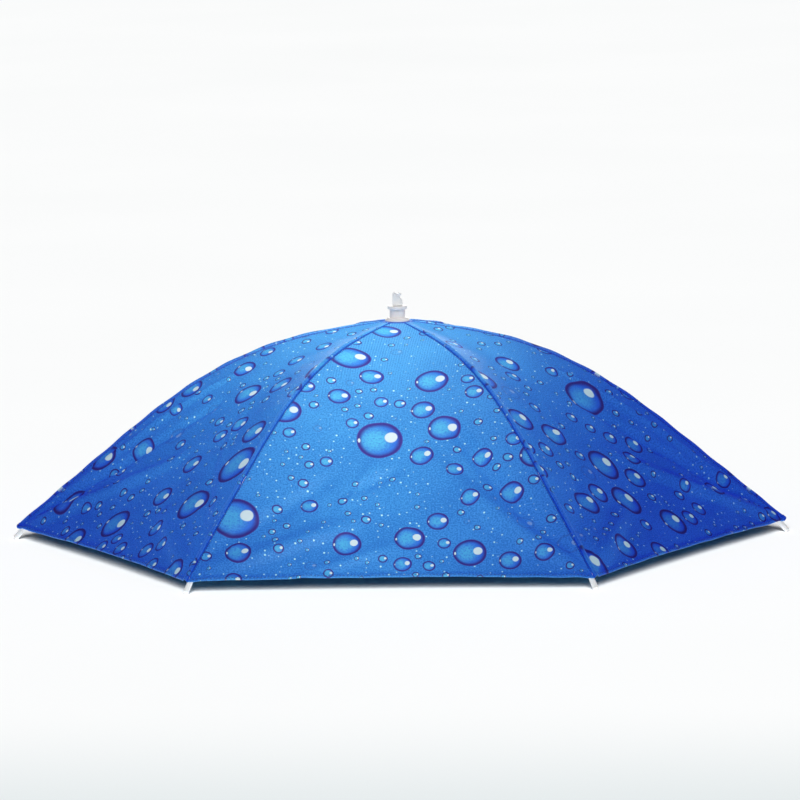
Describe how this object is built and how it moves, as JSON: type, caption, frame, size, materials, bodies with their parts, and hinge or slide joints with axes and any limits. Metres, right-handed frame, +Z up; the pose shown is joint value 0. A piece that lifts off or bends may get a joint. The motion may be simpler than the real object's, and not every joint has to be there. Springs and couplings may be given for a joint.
{
  "type": "umbrella hat",
  "caption": "Umbrella-shaped sun and rain hat: cloth gores sewn over bent ribs, with a cap and post on top and an elastic head band hung inside on short arms.",
  "frame": {"origin": "on the floor under the hub, level with the lowest corners of the rib tips", "axes": "+Z up, -Y towards the front gore, +X towards the rib tip at its right seen from the front"},
  "size_m": [0.69, 0.5984, 0.2179],
  "materials": {
    "canopy_cloth": "thin plain-woven polyester, printed, slight sheen",
    "white_plastic": "moulded, satin",
    "clear_plastic": "moulded, milky clear",
    "rib_steel": "drawn wire, bright",
    "band_elastic": "ribbed woven elastic"
  },
  "bodies": {
    "root": {"canopy_panel_1": "canopy_cloth", "canopy_panel_2": "canopy_cloth", "canopy_panel_3": "canopy_cloth", "canopy_panel_4": "canopy_cloth", "canopy_panel_5": "canopy_cloth", "canopy_panel_6": "canopy_cloth", "rib_1": "rib_steel", "rib_2": "rib_steel", "rib_3": "rib_steel", "rib_4": "rib_steel", "rib_5": "rib_steel", "rib_6": "rib_steel", "rib_tip_1": "white_plastic", "rib_tip_2": "white_plastic", "rib_tip_3": "white_plastic", "rib_tip_4": "white_plastic", "rib_tip_5": "white_plastic", "rib_tip_6": "white_plastic", "rib_joint_1": "white_plastic", "rib_joint_2": "white_plastic", "rib_joint_3": "white_plastic", "rib_joint_4": "white_plastic", "rib_joint_5": "white_plastic", "rib_joint_6": "white_plastic", "stretcher_1": "rib_steel", "stretcher_2": "rib_steel", "stretcher_3": "rib_steel", "stretcher_4": "rib_steel", "stretcher_5": "rib_steel", "stretcher_6": "rib_steel", "band_arm_1": "white_plastic", "band_arm_2": "white_plastic", "band_arm_3": "white_plastic", "band_arm_4": "white_plastic", "band_arm_5": "white_plastic", "band_arm_6": "white_plastic", "canopy_cap": "white_plastic", "top_hub": "white_plastic", "snap_post": "clear_plastic", "runner": "white_plastic", "headband": "band_elastic"}
  },
  "joints": []
}
